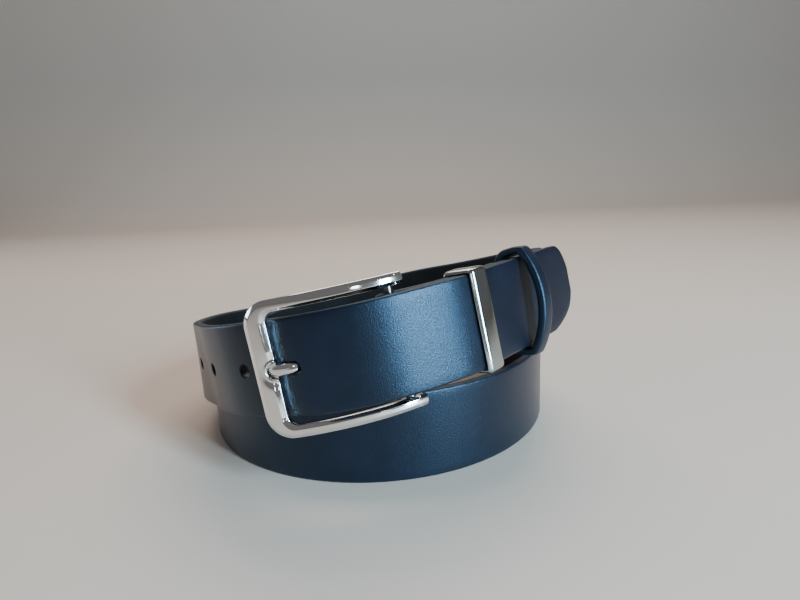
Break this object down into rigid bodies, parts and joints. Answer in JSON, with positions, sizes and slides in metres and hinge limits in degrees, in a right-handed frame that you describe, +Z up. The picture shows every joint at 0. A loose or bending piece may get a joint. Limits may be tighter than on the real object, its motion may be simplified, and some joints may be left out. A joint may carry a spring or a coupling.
{
  "type": "dress belt",
  "caption": "Smooth dark leather dress belt, coiled and fastened on its edge, with a bright prong buckle, a metal keeper and a leather keeper.",
  "frame": {"origin": "on the surface the belt stands on, under the middle of the whole coil", "axes": "+Z up across the strap, -Y towards the buckle, +X to the right of the buckle"},
  "size_m": [0.1707, 0.1785, 0.0828],
  "materials": {
    "strap_leather": "smooth, semi-matt, fine grain",
    "keeper_leather": "smooth, semi-matt, fine grain",
    "nickel": "polished plate",
    "keeper_metal": "polished plate",
    "steel_wire": "drawn wire",
    "screw_metal": "polished plate"
  },
  "bodies": {
    "strap": {"strap": "strap_leather", "post_upper": "screw_metal", "post_lower": "screw_metal", "screw_upper": "screw_metal", "screw_lower": "screw_metal"},
    "frame": {"frame": "nickel", "pivot_bar": "nickel"},
    "prong": {"prong": "nickel"},
    "metal_keeper": {"metal_keeper": "keeper_metal"},
    "leather_keeper": {"leather_keeper": "keeper_leather", "keeper_staple": "steel_wire"}
  },
  "joints": [
    {"name": "frame_swing", "type": "hinge", "parent": "strap", "child": "frame", "pos_m": [0.00608, -0.07637, 0.0562], "axis": [-0.1636, 0.1305, 0.9778], "range_deg": [0, 1.5]},
    {"name": "prong_swing", "type": "hinge", "parent": "strap", "child": "prong", "pos_m": [0.00608, -0.07637, 0.0562], "axis": [-0.1636, 0.1305, 0.9778], "range_deg": [0, 1.5]},
    {"name": "metal_keeper_slide", "type": "slide", "parent": "strap", "child": "metal_keeper", "axis": [0.7006, 0.7132, 0.022], "range_m": [0, 0.005]},
    {"name": "leather_keeper_slide", "type": "slide", "parent": "strap", "child": "leather_keeper", "axis": [0.7006, 0.7132, 0.022], "range_m": [-0.001, 0.007]}
  ],
  "couplings": [
    {"joint": "prong_swing", "follows": "frame_swing", "ratio": 1}
  ]
}
